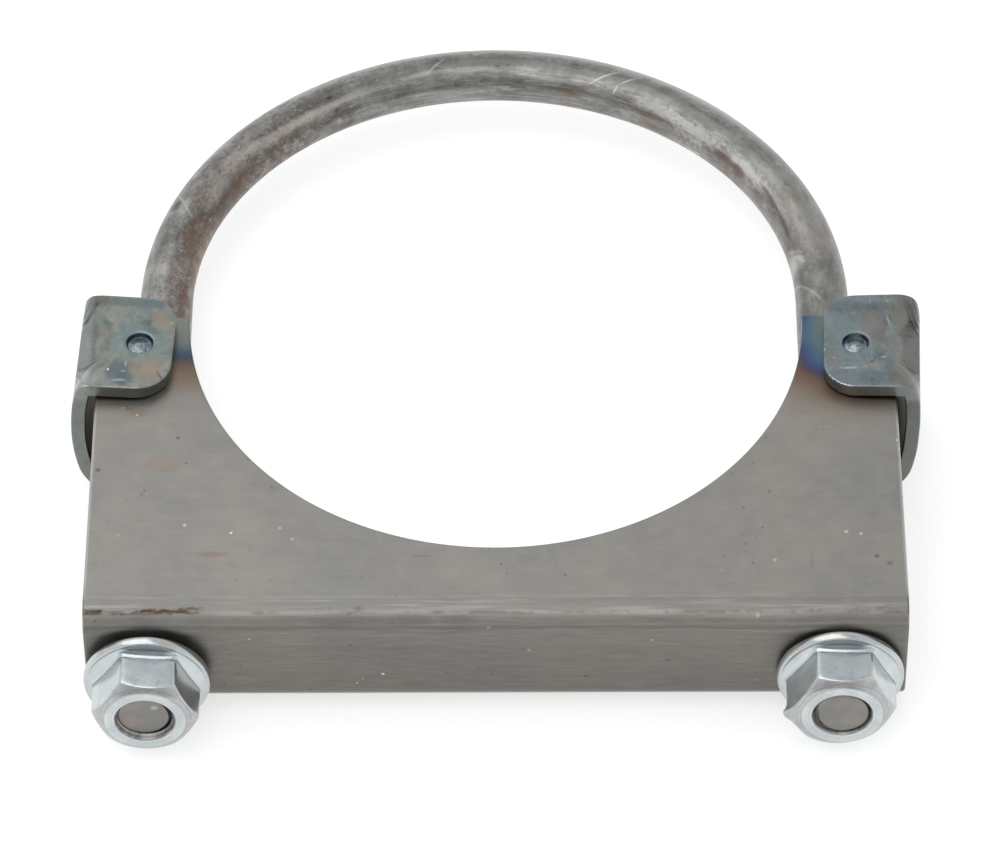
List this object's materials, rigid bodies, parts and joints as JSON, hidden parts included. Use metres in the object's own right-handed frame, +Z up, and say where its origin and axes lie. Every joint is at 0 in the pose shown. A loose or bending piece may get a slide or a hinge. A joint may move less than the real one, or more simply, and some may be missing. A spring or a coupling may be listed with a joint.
{
  "type": "exhaust clamp",
  "caption": "U-bolt exhaust clamp: threaded rod arch, folded channel saddle with a half-round seat, welded side brackets and flange nuts.",
  "frame": {"origin": "centre of the saddle's half-round pipe seat, at the channel's mid height", "axes": "+X across the two legs, +Y from the nuts toward the arch, +Z up along the pipe's axis; the clamp lies flat"},
  "size_m": [0.1239, 0.1334, 0.023],
  "materials": {
    "saddle_steel": "bare rolled steel sheet, heat tinted beside the welds, rust specks along the fold",
    "bracket_steel": "bare rolled steel strip, blue-grey scale with tan patches from welding",
    "rod_steel": "bare drawn steel rod with mill scale, brown rust patches and bright rubbed marks",
    "zinc_plate": "bright bluish zinc plating, satin gloss"
  },
  "bodies": {
    "saddle": {"saddle": "saddle_steel", "left_bracket": "bracket_steel", "right_bracket": "bracket_steel"},
    "u_bolt": {"u_bolt": "rod_steel"},
    "left_nut": {"left_nut": "zinc_plate"},
    "right_nut": {"right_nut": "zinc_plate"}
  },
  "joints": [
    {"name": "u_bolt_slide", "type": "slide", "parent": "saddle", "child": "u_bolt", "axis": [0, -1, 0], "range_m": [0, 0.0144]},
    {"name": "left_nut_spin", "type": "hinge", "parent": "saddle", "child": "left_nut", "pos_m": [-0.04911, -0.06282, -0.002], "axis": [0, 1, 0], "range_deg": [0, 4150]},
    {"name": "right_nut_spin", "type": "hinge", "parent": "saddle", "child": "right_nut", "pos_m": [0.04843, -0.06222, -0.002], "axis": [0, 1, 0], "range_deg": [0, 4150]}
  ],
  "couplings": [
    {"joint": "left_nut_spin", "follows": "u_bolt_slide", "rad_per_m": 5026.5},
    {"joint": "right_nut_spin", "follows": "u_bolt_slide", "rad_per_m": 5026.5}
  ]
}
